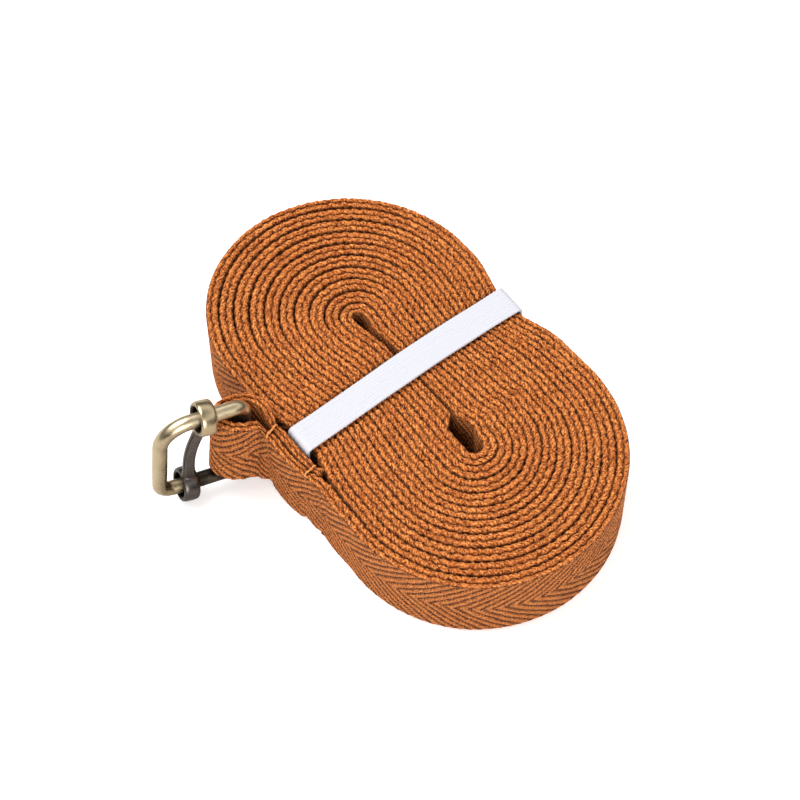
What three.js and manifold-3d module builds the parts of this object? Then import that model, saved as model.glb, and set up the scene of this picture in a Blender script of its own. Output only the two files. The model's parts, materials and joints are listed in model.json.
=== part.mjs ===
// Stretching strap: a long cotton webbing strap wound on edge into an oblong coil, with an elastic
// band round its waist and a cinch buckle in the sewn loop at its outer end.
// Units are millimetres.  +Z is up (across the webbing's width) and +X runs from the small lobe of
// the coil to the large one.  Shapes are laid out from the middle of the elastic band, on the table;
// at the end the whole strap is moved so that the origin is under the middle of its overall box.
import * as THREE from 'three';
import { mergeVertices } from 'three/addons/utils/BufferGeometryUtils.js';
import Module from 'manifold-3d';

const wasm = await Module();
wasm.setup();

// ---- Webbing
const WEB_WIDTH = 25;
const WEB_THICK = 2.8;
const CLEARANCE = 0.3;                 // gap left between pieces that rest on each other

// ---- Coil: straight runs between two lobe centres, wound from the free end outwards
const TURNS = 10;
const LOBE_A_X = -24;                  // centre of the small, tightly wound lobe, outermost turn
const CORE_A_X = -20.4;                // the same for the innermost turn
const LOBE_B_X = 26.5;                 // centre of the large, looser lobe
const FREE_END_X = 17.7;               // where the strap's free end lies, beside the hollow core
const FREE_END_SLANT = 1.9;            // the end is cut across at a slant, by this much each way
const COIL_END_X = 14;                 // where the coil hands over to the loose tail
const CORE_NEAR_A = 1.3;               // reach of the first fold round lobe A, on the -Y side
const CORE_FAR_A = 1.6;                // and on the +Y side
const CORE_BEND_B = 0.76;              // radius of the first fold round lobe B
const CORE_SHIFT_B = 1.35;             // that fold lies this much towards +Y
const CORE_TIP_B = 0.54;               // and is longer than round by this much
const REACH_A = 36.4;                  // reach of the last turn round lobe A
const REACH_A_SKEW = 1.5;              // lobe A bulges towards the buckle by this much
const REACH_B = 37;                    // reach of the last turn round lobe B
const REACH_B_TIP = 2.8;               // lobe B is longer than round by this much
const REACH_B_SKEW = 0.7;
const WAIST_HALF_LENGTH = 18;          // the elastic pinches the coil over this distance each way
const WAIST_PINCH_FAR = 3.8;           // pinch depth on the +Y side
const WAIST_PINCH_NEAR = 3.2;          // pinch depth on the -Y side
const WAIST_NEAR_X = 2;
const WAIST_FAR_X = 0;
const ARC_STEPS = 16;
const SIDE_STEPS_X = [19, 14, 9, 4.9, 4.6, 0, -4.6, -4.9, -9, -14, -19];

// ---- Elastic band round the waist
const ELASTIC_WIDTH = 8.6;
const ELASTIC_THICK = 0.9;
const GROOVE_HALF = 4.75;              // half-width of the pressed-in track under the elastic
const GROOVE_BOTTOM = 1.3;             // how far the webbing edges are pressed up below the coil
const GROOVE_TOP = 0.7;                // how far they are pressed down on top
const ELASTIC_BEND = 1.1;              // bend radius of the band's centre line at each edge
const LAP_LOW_Z = 6;                   // the band's sewn overlap, on the side away from the buckle
const LAP_HIGH_Z = 18;
const ZIGZAG_LEGS = 7;                 // strokes of the thread across the overlap
const ZIGZAG_RISE = 2.4;

// ---- Buckle frame: a closed rod, in its own plane (u outwards along the rails, v up)
const ROD_RADIUS = 2;
const BAR_X = -13.26;                  // axis of the fixed bar inside the webbing loop
const BAR_Y = -43.38;
const RAIL_BASE_Z = 3.7;               // height of the lower rail's axis at the fixed bar
const RAIL_ANGLE = 255 * Math.PI / 180;
const FRAME_PITCH = 5 * Math.PI / 180; // the frame leans back, so its end bar is lifted
const FRAME_LENGTH = 22;               // fixed bar to end bar, between axes
const FRAME_HEIGHT = 29.8;             // lower rail to upper rail, between axes
const CORNER_BAR = 2.6;                // corner radii of the rod's axis
const CORNER_END_LOW = 3.6;
const CORNER_END_HIGH = 8;

// ---- Slide bar: a cast bar with a ring round each rail
const RING_OUTER = 4.6;
const RING_INNER = 3.1;
const RING_LENGTH = 4.4;
const RING_EDGE = 0.5;                 // rounding of the rings' rims
const UPPER_RING_U = 10.5;              // the bar stands a little askew on the rails
const LOWER_RING_U = 14.6;
const BAR_BOW = 1.3;                   // the bar bows outwards between its rings
const BAR_HALF_WIDE = 1.6;
const BAR_HALF_THICK = 1.25;

// ---- Tail: the doubled end of the webbing, with a loop round the fixed bar
const LOOP_ANGLE = 243 * Math.PI / 180;  // direction of the loop, from the seam to its turn
const LOOP_HALF_LONG = 6.6;            // half-axes of the loop's centre line
const LOOP_HALF_WIDE = 4.3;
const LOOP_RISE = 0.35;                // gap between the lower rail and the webbing's edge
const SEAM_THREAD = 0.5;               // thread thickness
const SEAM_GAP = 0.28;
const SEAM_NOTCH = 0.9;                // how far a seam draws in the webbing's edges
const SEAM_REACH = 1.8;                // length of webbing drawn in on each side of a seam
const LOOP_SEAM = { x: -6.0, y: -37.4, angle: 197, legs: 2.75, thick: 2.4, lift: 2.2 };
const END_SEAM = { x: 8.0, y: -35.9, angle: 188, legs: 2.3, thick: 2.0, lift: 0 };
const DOUBLED_THICK = 2.4;             // the webbing is pressed thinner between the two seams
const LEAN_RISE = 3;                   // the lean sets in over this much rise from the loop seam
const TAIL_STEP = 0.8;

// ---- Colours
const COPPER_COTTON = 0xc6763e;
const COPPER_THREAD = 0xd98e55;
const WHITE_ELASTIC = 0xf0f0f6;
const ANTIQUE_BRASS = 0xb39b62;
const GUNMETAL = 0x5f5854;

const smooth = (t) => {
  const c = Math.min(1, Math.max(0, t));
  return c * c * (3 - 2 * c);
};
const mix = (a, b, t) => a + (b - a) * t;

// Closed skin over a row of equal section outlines, capped at the ends unless it runs round.
function skin(sections, runsRound) {
  const count = sections[0].length;
  const points = sections.flat();
  const index = [];
  const rows = runsRound ? sections.length : sections.length - 1;
  for (let row = 0; row < rows; row += 1) {
    const here = row * count;
    const next = ((row + 1) % sections.length) * count;
    for (let k = 0; k < count; k += 1) {
      const k2 = (k + 1) % count;
      index.push(here + k, here + k2, next + k2);
      index.push(here + k, next + k2, next + k);
    }
  }
  if (!runsRound) {
    const last = (sections.length - 1) * count;
    for (let k = 1; k < count - 1; k += 1) {
      index.push(0, k + 1, k);
      index.push(last, last + k, last + k + 1);
    }
  }
  const geometry = new THREE.BufferGeometry();
  const flat = points.flatMap((p) => [p.x, p.y, p.z]);
  geometry.setAttribute('position', new THREE.Float32BufferAttribute(flat, 3));
  geometry.setIndex(index);
  return facingOut(geometry);
}

// Turns every face of a closed geometry over if its enclosed volume comes out negative.
function facingOut(geometry) {
  const p = geometry.getAttribute('position');
  const index = geometry.getIndex().array;
  const a = new THREE.Vector3();
  const b = new THREE.Vector3();
  const c = new THREE.Vector3();
  let volume = 0;
  for (let i = 0; i < index.length; i += 3) {
    a.fromBufferAttribute(p, index[i]);
    b.fromBufferAttribute(p, index[i + 1]);
    c.fromBufferAttribute(p, index[i + 2]);
    volume += a.dot(b.cross(c));
  }
  if (volume < 0) {
    for (let i = 0; i < index.length; i += 3) {
      [index[i], index[i + 1]] = [index[i + 1], index[i]];
    }
  }
  geometry.computeVertexNormals();
  return geometry;
}

// ---- Coil ---------------------------------------------------------------------------------------

// Lobe centres: lobe A's moves outwards from turn to turn.
function lobeA(turn) {
  return mix(CORE_A_X, LOBE_A_X, Math.min(1, turn / (TURNS - 1)));
}

// Reach of the centre line before the first turn.  The core is a strap folded flat: closed along the
// middle and open round both folds.
function coreReach(leg, t, angle, x) {
  if (leg === 0) {
    const slot = CORE_NEAR_A - 1.95 * smooth((x + 19) / 11) - 0.25 * smooth((x + 4) / 20);
    return slot + 0.3 * smooth((x - 16.5) / 3.5);
  }
  if (leg === 1) return mix(CORE_NEAR_A, CORE_FAR_A, smooth(t));
  if (leg === 2) {
    const slot = CORE_FAR_A - 0.65 * smooth((x + 19) / 5) + 0.55 * smooth((x + 14) / 9);
    return slot + 1.45 * smooth((x - 17) / 6) - 0.84 * smooth((x - 23) / 3.5);
  }
  return CORE_BEND_B + CORE_TIP_B * Math.cos(angle) + CORE_SHIFT_B * Math.sin(angle);
}

function pinch(x, centre, depth) {
  const d = Math.abs(x - centre) / WAIST_HALF_LENGTH;
  return d < 1 ? depth * Math.cos(d * Math.PI / 2) ** 2 : 0;
}

// Reach of the centre line once all the turns are wound.
function fullReach(leg, t, angle, x) {
  const nearB = REACH_B - REACH_B_SKEW;
  const farB = REACH_B + REACH_B_SKEW;
  if (leg === 0) return mix(nearB, REACH_A, t) - pinch(x, WAIST_NEAR_X, WAIST_PINCH_NEAR);
  if (leg === 1) return REACH_A + REACH_A_SKEW * Math.sin(2 * angle);
  if (leg === 2) return mix(REACH_A, farB, t) - pinch(x, WAIST_FAR_X, WAIST_PINCH_FAR);
  return REACH_B + REACH_B_TIP * Math.cos(angle) + REACH_B_SKEW * Math.sin(angle);
}

// One station of the strap: legs 0 and 2 are the straight runs, 1 and 3 the bends.
function coilStation(turn, leg, t) {
  const half = Math.PI / 2;
  const angle = [-half, -half - Math.PI * t, half, half - Math.PI * t][leg];
  const lobe = lobeA(turn);
  const x = [mix(LOBE_B_X, lobe, t), lobe, mix(lobe, LOBE_B_X, t), LOBE_B_X][leg];
  const wound = turn + (leg + t) / 4;
  const core = coreReach(leg, t, angle, x);
  const reach = core + (fullReach(leg, t, angle, x) - core) * wound / TURNS;
  const out = new THREE.Vector3(Math.cos(angle), Math.sin(angle), 0);
  return { out, reach, x, centre: new THREE.Vector3(x, 0, 0).addScaledVector(out, reach) };
}

function coilSection(station, straight) {
  const pressed = straight && Math.abs(station.x) < GROOVE_HALF;
  const low = pressed ? GROOVE_BOTTOM : 0;
  const high = WEB_WIDTH - (pressed ? GROOVE_TOP : 0);
  const inner = station.centre.clone().addScaledVector(station.out, -WEB_THICK / 2);
  const outer = station.centre.clone().addScaledVector(station.out, WEB_THICK / 2);
  return [[inner, low], [outer, low], [outer, high], [inner, high]].map(([p, z]) => p.clone().setZ(z));
}

// Value of t at which the -Y run of a turn passes x.
function nearT(turn, x) {
  return (LOBE_B_X - x) / (LOBE_B_X - lobeA(turn));
}

// Values of t along one leg: at set places on a straight run, evenly round a bend.
function legSteps(turn, leg) {
  if (leg === 0) return [0, ...SIDE_STEPS_X.map((x) => nearT(turn, x))];
  if (leg === 2) return [0, ...SIDE_STEPS_X.map((x) => 1 - nearT(turn, x)).reverse()];
  return Array.from({ length: ARC_STEPS }, (_, k) => k / ARC_STEPS);
}

function webbingCoil() {
  const startT = nearT(0, FREE_END_X);
  const endT = nearT(TURNS, COIL_END_X);
  const freeEnd = coilSection(coilStation(0, 0, startT), true);
  freeEnd.forEach((corner, k) => {
    corner.x += k === 1 || k === 2 ? FREE_END_SLANT : -FREE_END_SLANT;
  });
  const sections = [freeEnd];
  for (let turn = 0; turn <= TURNS; turn += 1) {
    for (let leg = 0; leg < 4; leg += 1) {
      for (const t of legSteps(turn, leg)) {
        const beforeStart = turn === 0 && leg === 0 && t <= startT;
        const afterEnd = turn === TURNS && (leg > 0 || t >= endT - 1e-6);
        if (beforeStart || afterEnd) continue;
        sections.push(coilSection(coilStation(turn, leg, t), leg % 2 === 0));
      }
    }
  }
  sections.push(coilSection(coilStation(TURNS, 0, endT), true));
  return skin(sections, false);
}

// Outer face of the last full turn beside the elastic, on the -Y side (leg 0) or +Y side (leg 2).
function waistFace(leg) {
  const reachAt = (x) => {
    const t = leg === 0 ? nearT(TURNS - 1, x) : 1 - nearT(TURNS - 1, x);
    return coilStation(TURNS - 1, leg, t).reach + WEB_THICK / 2;
  };
  return Math.max(reachAt(-GROOVE_HALF), reachAt(0), reachAt(GROOVE_HALF));
}

// ---- Elastic band -------------------------------------------------------------------------------

function elasticBand() {
  const half = ELASTIC_THICK / 2;
  const nearY = -waistFace(0) - CLEARANCE - half;
  const farY = waistFace(2) + CLEARANCE + half;
  const lowZ = GROOVE_BOTTOM - CLEARANCE - half;
  const highZ = WEB_WIDTH - GROOVE_TOP + CLEARANCE + half;
  const corners = [
    { y: farY - ELASTIC_BEND, z: highZ - ELASTIC_BEND, from: 0 },
    { y: nearY + ELASTIC_BEND, z: highZ - ELASTIC_BEND, from: 90 },
    { y: nearY + ELASTIC_BEND, z: lowZ + ELASTIC_BEND, from: 180 },
    { y: farY - ELASTIC_BEND, z: lowZ + ELASTIC_BEND, from: 270 },
  ];
  const sections = [];
  const addSection = (y, z, angle, extra) => {
    const section = [[-1, -1], [1, -1], [1, 1], [-1, 1]].map(([side, face]) => {
      const reach = face < 0 ? -half : half + extra;
      const offsetY = Math.cos(angle) * reach;
      const offsetZ = Math.sin(angle) * reach;
      return new THREE.Vector3(side * ELASTIC_WIDTH / 2, y + offsetY, z + offsetZ);
    });
    sections.push(section);
  };
  for (const corner of corners) {
    for (let k = 0; k <= 4; k += 1) {
      const angle = THREE.MathUtils.degToRad(corner.from + k * 90 / 4);
      const y = corner.y + Math.cos(angle) * ELASTIC_BEND;
      const z = corner.z + Math.sin(angle) * ELASTIC_BEND;
      addSection(y, z, angle, 0);
    }
  }
  // The overlap lies on the straight that closes the loop, running up the +Y side.
  addSection(farY, LAP_LOW_Z, 0, 0);
  addSection(farY, LAP_LOW_Z, 0, ELASTIC_THICK);
  addSection(farY, LAP_HIGH_Z, 0, ELASTIC_THICK);
  addSection(farY, LAP_HIGH_Z, 0, 0);
  return skin(sections, true);
}

// Zigzag bar of thread that holds the elastic band's overlap together.
function elasticStitch() {
  const y = waistFace(2) + CLEARANCE + 2 * ELASTIC_THICK + SEAM_GAP;
  const middle = (LAP_LOW_Z + LAP_HIGH_Z) / 2;
  const sections = [];
  for (let k = 0; k <= ZIGZAG_LEGS; k += 1) {
    const x = ELASTIC_WIDTH * mix(-0.4, 0.4, k / ZIGZAG_LEGS);
    const z = middle + (k % 2 === 0 ? -ZIGZAG_RISE / 2 : ZIGZAG_RISE / 2);
    sections.push([
      new THREE.Vector3(x, y, z - SEAM_THREAD),
      new THREE.Vector3(x, y, z + SEAM_THREAD),
      new THREE.Vector3(x, y + SEAM_THREAD, z + SEAM_THREAD),
      new THREE.Vector3(x, y + SEAM_THREAD, z - SEAM_THREAD),
    ]);
  }
  return skin(sections, false);
}

// ---- Buckle -------------------------------------------------------------------------------------

// Places the buckle's own plane: u outwards along the rails, v up, w across.
function buckleMatrix() {
  const level = new THREE.Vector3(Math.cos(RAIL_ANGLE), Math.sin(RAIL_ANGLE), 0);
  const up = new THREE.Vector3(0, 0, 1);
  const u = level.clone().multiplyScalar(Math.cos(FRAME_PITCH)).addScaledVector(up, Math.sin(FRAME_PITCH));
  const w = new THREE.Vector3().crossVectors(level, up);
  const v = new THREE.Vector3().crossVectors(w, u);
  const origin = new THREE.Vector3(BAR_X, BAR_Y, RAIL_BASE_Z);
  return new THREE.Matrix4().makeBasis(u, v, w).setPosition(origin);
}

function buckleFrame() {
  const corners = [
    { u: 0, v: 0, radius: CORNER_BAR, from: 180 },
    { u: FRAME_LENGTH, v: 0, radius: CORNER_END_LOW, from: 270 },
    { u: FRAME_LENGTH, v: FRAME_HEIGHT, radius: CORNER_END_HIGH, from: 0 },
    { u: 0, v: FRAME_HEIGHT, radius: CORNER_BAR, from: 90 },
  ];
  const sides = 14;
  const sections = [];
  for (const corner of corners) {
    const inU = corner.u === 0 ? corner.radius : -corner.radius;
    const inV = corner.v === 0 ? corner.radius : -corner.radius;
    const steps = corner.radius > 5 ? 9 : 6;
    for (let k = 0; k <= steps; k += 1) {
      const angle = THREE.MathUtils.degToRad(corner.from + 90 * k / steps);
      const dirU = Math.cos(angle);
      const dirV = Math.sin(angle);
      const u = corner.u + inU + corner.radius * dirU;
      const v = corner.v + inV + corner.radius * dirV;
      const section = Array.from({ length: sides }, (_, s) => {
        const turn = 2 * Math.PI * s / sides;
        const radial = ROD_RADIUS * Math.cos(turn);
        return new THREE.Vector3(u + dirU * radial, v + dirV * radial, ROD_RADIUS * Math.sin(turn));
      });
      sections.push(section);
    }
  }
  return skin(sections, true).applyMatrix4(buckleMatrix());
}

// Ring with rounded rims; its hole runs along Y before it is tilted and placed.
function slideRing(u, v, tilt) {
  const half = RING_LENGTH / 2;
  const profile = [
    [RING_INNER + RING_EDGE, -half],
    [RING_OUTER - RING_EDGE, -half],
    [RING_OUTER, -half + RING_EDGE],
    [RING_OUTER, half - RING_EDGE],
    [RING_OUTER - RING_EDGE, half],
    [RING_INNER + RING_EDGE, half],
    [RING_INNER, half - RING_EDGE],
    [RING_INNER, -half + RING_EDGE],
    [RING_INNER + RING_EDGE, -half],
  ].map(([r, y]) => new THREE.Vector2(r, y));
  const ring = new THREE.LatheGeometry(profile, 24);
  ring.rotateZ(-Math.PI / 2 + tilt);
  ring.translate(u, v, 0);
  return ring;
}

function toManifold(geometry) {
  const plain = geometry.clone();
  plain.deleteAttribute('normal');
  plain.deleteAttribute('uv');
  const merged = facingOut(mergeVertices(plain, 1e-4));
  return new wasm.Manifold(new wasm.Mesh({
    numProp: 3,
    vertProperties: Float32Array.from(merged.getAttribute('position').array),
    triVerts: Uint32Array.from(merged.getIndex().array),
  }));
}

function fromManifold(solid) {
  const mesh = solid.getMesh();
  const geometry = new THREE.BufferGeometry();
  geometry.setAttribute('position', new THREE.BufferAttribute(mesh.vertProperties, 3));
  geometry.setIndex(new THREE.BufferAttribute(mesh.triVerts, 1));
  geometry.computeVertexNormals();
  return geometry;
}

function slideBar() {
  const lower = new THREE.Vector2(LOWER_RING_U, 0);
  const upper = new THREE.Vector2(UPPER_RING_U, FRAME_HEIGHT);
  const along = upper.clone().sub(lower).normalize();
  const across = new THREE.Vector2(along.y, -along.x);
  const tilt = Math.atan2(across.y, across.x);
  const inset = (RING_INNER + RING_OUTER) / 2;
  const from = lower.clone().addScaledVector(along, inset);
  const to = upper.clone().addScaledVector(along, -inset);
  const sides = 12;
  const steps = 10;
  const sections = [];
  for (let k = 0; k <= steps; k += 1) {
    const t = k / steps;
    const centre = from.clone().lerp(to, t).addScaledVector(across, BAR_BOW * Math.sin(Math.PI * t));
    sections.push(Array.from({ length: sides }, (_, s) => {
      const turn = 2 * Math.PI * s / sides;
      const p = centre.clone().addScaledVector(across, BAR_HALF_WIDE * Math.cos(turn));
      return new THREE.Vector3(p.x, p.y, BAR_HALF_THICK * Math.sin(turn));
    }));
  }
  const bar = toManifold(skin(sections, false));
  const lowerRing = toManifold(slideRing(lower.x, lower.y, tilt));
  const upperRing = toManifold(slideRing(upper.x, upper.y, tilt));
  return fromManifold(bar.add(lowerRing).add(upperRing)).applyMatrix4(buckleMatrix());
}

// ---- Tail ---------------------------------------------------------------------------------------

// Height of the webbing's lower edge where it runs between the buckle's rails.
function railLift(x, y) {
  const outwards = (x - BAR_X) * Math.cos(RAIL_ANGLE) + (y - BAR_Y) * Math.sin(RAIL_ANGLE);
  const overRail = RAIL_BASE_Z + ROD_RADIUS / Math.cos(FRAME_PITCH) + LOOP_RISE;
  return overRail + outwards * Math.tan(FRAME_PITCH);
}

// Point of the loop's centre line: 0 degrees faces the seam, 90 the outer leg, 180 the turn.
function loopPoint(degrees) {
  const angle = THREE.MathUtils.degToRad(degrees);
  const along = -LOOP_HALF_LONG * Math.cos(angle);
  const across = LOOP_HALF_WIDE * Math.sin(angle);
  const x = BAR_X + along * Math.cos(LOOP_ANGLE) - across * Math.sin(LOOP_ANGLE);
  const y = BAR_Y + along * Math.sin(LOOP_ANGLE) + across * Math.cos(LOOP_ANGLE);
  return new THREE.Vector3(x, y, railLift(x, y));
}

// The loop leans back with the fixed bar: shift of the webbing's upper edge over its lower one.
function loopLean(point) {
  const share = smooth((point.z - LOOP_SEAM.lift) / LEAN_RISE);
  const shift = -share * WEB_WIDTH * Math.tan(FRAME_PITCH);
  return new THREE.Vector3(shift * Math.cos(RAIL_ANGLE), shift * Math.sin(RAIL_ANGLE), 0);
}

// Where a seam crosses the outer leg (side 1) or the folded-back leg (side -1), or a point that
// lies a little further along the same leg, towards the loop.
function seamPoint(seam, side, further = 0) {
  const angle = THREE.MathUtils.degToRad(seam.angle);
  const offset = side * seam.legs / 2;
  const x = seam.x - offset * Math.sin(angle) + further * Math.cos(angle);
  const y = seam.y + offset * Math.cos(angle) + further * Math.sin(angle);
  return new THREE.Vector3(x, y, seam.lift);
}

function tailLine() {
  const coilEnd = coilStation(TURNS, 0, nearT(TURNS, COIL_END_X)).centre;
  const loop = [70, 90, 110, 130, 150, 170, 190, 210, 230, 250, 270, 295].map(loopPoint);
  return new THREE.CatmullRomCurve3([
    new THREE.Vector3(COIL_END_X - 0.4, coilEnd.y - 0.05, 0),
    new THREE.Vector3(11, coilEnd.y - 0.75, 0),
    seamPoint(END_SEAM, 1),
    new THREE.Vector3(3.4, -38.1, 0.2),
    new THREE.Vector3(-1, -38.45, 0.9),
    seamPoint(LOOP_SEAM, 1, -0.6),
    seamPoint(LOOP_SEAM, 1, 0.6),
    new THREE.Vector3(-8, -41, 4),
    ...loop,
    new THREE.Vector3(-9.9, -36.5, 3.6),
    seamPoint(LOOP_SEAM, -1),
    new THREE.Vector3(-1, -35.75, 0.9),
    new THREE.Vector3(3.7, -35.5, 0.2),
    seamPoint(END_SEAM, -1),
    new THREE.Vector3(10.4, -34.25, 0),
  ], false, 'centripetal');
}

function webbingTail() {
  const line = tailLine();
  const seams = [LOOP_SEAM, END_SEAM].flatMap((seam) => [
    { at: seamPoint(seam, 1), thick: seam.thick },
    { at: seamPoint(seam, -1), thick: seam.thick },
  ]);
  const steps = Math.round(line.getLength() / TAIL_STEP);
  const sections = line.getSpacedPoints(steps).map((point, k) => {
    const tangent = line.getTangentAt(k / steps);
    const out = new THREE.Vector3(tangent.y, -tangent.x, 0).normalize();
    const doubled = smooth((point.x - LOOP_SEAM.x + 3) / 3) * smooth((END_SEAM.x + 3 - point.x) / 2);
    let thick = mix(WEB_THICK, DOUBLED_THICK, doubled);
    let notch = 0;
    for (const seam of seams) {
      const away = Math.hypot(point.x - seam.at.x, point.y - seam.at.y);
      const drawn = 1 - smooth(away / (2 * SEAM_REACH));
      thick = Math.min(thick, mix(WEB_THICK, seam.thick, drawn));
      notch = Math.max(notch, SEAM_NOTCH * (1 - smooth(away / SEAM_REACH)));
    }
    const low = Math.max(0, point.z) + notch;
    const high = point.z + WEB_WIDTH - notch;
    const lean = loopLean(point);
    const a = point.clone().addScaledVector(out, -thick / 2);
    const b = point.clone().addScaledVector(out, thick / 2);
    return [a.clone().setZ(low), b.clone().setZ(low), b.add(lean).setZ(high), a.add(lean).setZ(high)];
  });
  return skin(sections, false);
}

// Loop of thread round the doubled webbing at a seam.
function seamThread(seam) {
  const angle = THREE.MathUtils.degToRad(seam.angle);
  const along = new THREE.Vector3(Math.cos(angle), Math.sin(angle), 0);
  const across = new THREE.Vector3(-along.y, along.x, 0);
  const middle = new THREE.Vector3(seam.x, seam.y, 0);
  const halfAcross = (seam.legs + seam.thick) / 2 + SEAM_GAP;
  const low = seam.lift + SEAM_NOTCH - SEAM_GAP;
  const high = seam.lift + WEB_WIDTH - SEAM_NOTCH + SEAM_GAP;
  const corners = [[-1, -1], [1, -1], [1, 1], [-1, 1]];
  const sections = corners.map(([side, level]) => {
    const z = level < 0 ? low : high;
    return [[0, -1], [0, 1], [1, 1], [1, -1]].map(([layer, edge]) => {
      const grow = layer * SEAM_THREAD;
      const point = middle.clone().addScaledVector(across, side * (halfAcross + grow));
      point.addScaledVector(along, edge * SEAM_THREAD / 2);
      return point.setZ(z + level * grow);
    });
  });
  return skin(sections, true);
}

// ---- Assembly -----------------------------------------------------------------------------------

function piece(name, geometry, color, roughness, metalness) {
  const material = new THREE.MeshStandardMaterial({ color, roughness, metalness });
  const mesh = new THREE.Mesh(geometry, material);
  mesh.name = name;
  return mesh;
}

const strap = new THREE.Group();
strap.name = 'stretching_strap';
strap.add(piece('webbing_coil', webbingCoil(), COPPER_COTTON, 0.9, 0));
strap.add(piece('webbing_tail', webbingTail(), COPPER_COTTON, 0.9, 0));
strap.add(piece('loop_seam', seamThread(LOOP_SEAM), COPPER_THREAD, 0.8, 0));
strap.add(piece('end_seam', seamThread(END_SEAM), COPPER_THREAD, 0.8, 0));
strap.add(piece('elastic_band', elasticBand(), WHITE_ELASTIC, 0.7, 0));
strap.add(piece('elastic_stitch', elasticStitch(), WHITE_ELASTIC, 0.7, 0));
strap.add(piece('buckle_frame', buckleFrame(), ANTIQUE_BRASS, 0.3, 1));
strap.add(piece('slide_bar', slideBar(), GUNMETAL, 0.35, 1));

const extent = new THREE.Box3().setFromObject(strap);
const middle = extent.getCenter(new THREE.Vector3()).setZ(extent.min.z);
for (const mesh of strap.children) {
  mesh.geometry.translate(-middle.x, -middle.y, -middle.z);
}

export default strap;
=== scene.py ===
"""Looks of the stretching strap: a coil of cotton webbing on edge, its elastic band and its cinch buckle.

Everything is laid out in millimetres in the CAD's own layout, from the middle of the elastic band on the
table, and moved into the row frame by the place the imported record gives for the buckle's fixed bar.
"""

import json
import math

import bpy
import numpy as np
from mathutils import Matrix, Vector

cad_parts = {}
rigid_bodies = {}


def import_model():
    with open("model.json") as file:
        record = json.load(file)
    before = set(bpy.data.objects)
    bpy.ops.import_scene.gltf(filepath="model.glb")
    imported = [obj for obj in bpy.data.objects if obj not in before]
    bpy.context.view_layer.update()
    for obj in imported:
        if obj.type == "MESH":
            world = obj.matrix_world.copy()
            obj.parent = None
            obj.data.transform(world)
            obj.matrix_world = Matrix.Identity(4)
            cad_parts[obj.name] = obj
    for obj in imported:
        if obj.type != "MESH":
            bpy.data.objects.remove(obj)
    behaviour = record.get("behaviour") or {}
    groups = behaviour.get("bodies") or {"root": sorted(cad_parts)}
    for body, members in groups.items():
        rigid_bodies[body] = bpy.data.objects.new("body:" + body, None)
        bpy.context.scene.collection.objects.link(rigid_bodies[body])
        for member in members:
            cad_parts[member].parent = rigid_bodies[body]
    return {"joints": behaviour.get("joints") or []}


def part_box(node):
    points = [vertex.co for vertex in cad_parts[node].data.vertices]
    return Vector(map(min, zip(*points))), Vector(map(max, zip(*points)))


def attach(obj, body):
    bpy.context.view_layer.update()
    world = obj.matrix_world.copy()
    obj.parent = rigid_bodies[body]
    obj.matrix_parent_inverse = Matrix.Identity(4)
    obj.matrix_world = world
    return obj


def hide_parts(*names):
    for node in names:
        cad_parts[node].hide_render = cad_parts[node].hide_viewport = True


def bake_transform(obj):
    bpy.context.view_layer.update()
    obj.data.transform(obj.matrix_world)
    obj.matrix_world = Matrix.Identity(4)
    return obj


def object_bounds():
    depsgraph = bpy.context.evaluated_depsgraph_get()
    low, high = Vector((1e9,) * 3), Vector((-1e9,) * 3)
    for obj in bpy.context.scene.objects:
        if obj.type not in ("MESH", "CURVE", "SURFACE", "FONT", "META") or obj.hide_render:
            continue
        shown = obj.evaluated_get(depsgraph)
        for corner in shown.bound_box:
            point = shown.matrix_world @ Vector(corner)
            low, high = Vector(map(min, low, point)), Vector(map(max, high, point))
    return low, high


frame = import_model()
cad_low, cad_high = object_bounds()
MM = 0.001

# ---- Layout shared with the CAD, in millimetres ----
# Lobe A is the small, tight one and lobe B the large one. Near is the side of the buckle, -Y.
WEB_WIDTH = 25.0
WEB_THICK = 2.8
TURNS = 10
LOBE_A_X, CORE_A_X, LOBE_B_X = -24.0, -20.4, 26.5  # lobe centres; the core's own in lobe A
FREE_END_X, FREE_END_SLANT, COIL_END_X = 17.7, 1.9, 14.0
CORE_NEAR_A, CORE_FAR_A = 1.3, 1.6  # reach of the first fold round lobe A
CORE_BEND_B, CORE_SHIFT_B, CORE_TIP_B = 0.76, 1.35, 0.54  # the first fold round lobe B
REACH_A, REACH_A_SKEW = 36.4, 1.5  # reach of the last turn round each lobe
REACH_B, REACH_B_TIP, REACH_B_SKEW = 37.0, 2.8, 0.7
WAIST_HALF_LENGTH = 18.0
WAIST_PINCH_FAR, WAIST_PINCH_NEAR = 3.8, 3.2
WAIST_NEAR_X, WAIST_FAR_X = 2.0, 0.0
GROOVE_BOTTOM, GROOVE_TOP = 1.3, 0.7  # track pressed in by the elastic
GROOVE_HALF = 5.4
ELASTIC_THICK, ELASTIC_BEND = 0.9, 1.1
LAP_LOW_Z, LAP_HIGH_Z = 6.0, 18.0  # the band's sewn overlap
BAR_X, BAR_Y = -13.26, -43.38  # the buckle's fixed bar
RAIL_BASE_Z = 3.7
RAIL_ANGLE = math.radians(255)
FRAME_PITCH = math.radians(5)
FRAME_LENGTH, FRAME_HEIGHT = 22.0, 29.8
CORNER_BAR, CORNER_END_LOW, CORNER_END_HIGH = 2.6, 3.6, 8.0
ROD_RADIUS = 2.0
RING_OUTER, RING_INNER, RING_LENGTH = 4.6, 3.1, 4.4
UPPER_RING_U, LOWER_RING_U = 10.5, 14.6
BAR_BOW = 1.3
LOOP_ANGLE = math.radians(243)
LOOP_HALF_LONG, LOOP_HALF_WIDE = 6.6, 4.3
LOOP_RISE = 0.35
LEAN_RISE = 3.0  # the loop leans in over this much rise
SEAM_THREAD, SEAM_GAP = 0.5, 0.28
SEAM_NOTCH, SEAM_REACH = 0.9, 1.8
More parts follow.
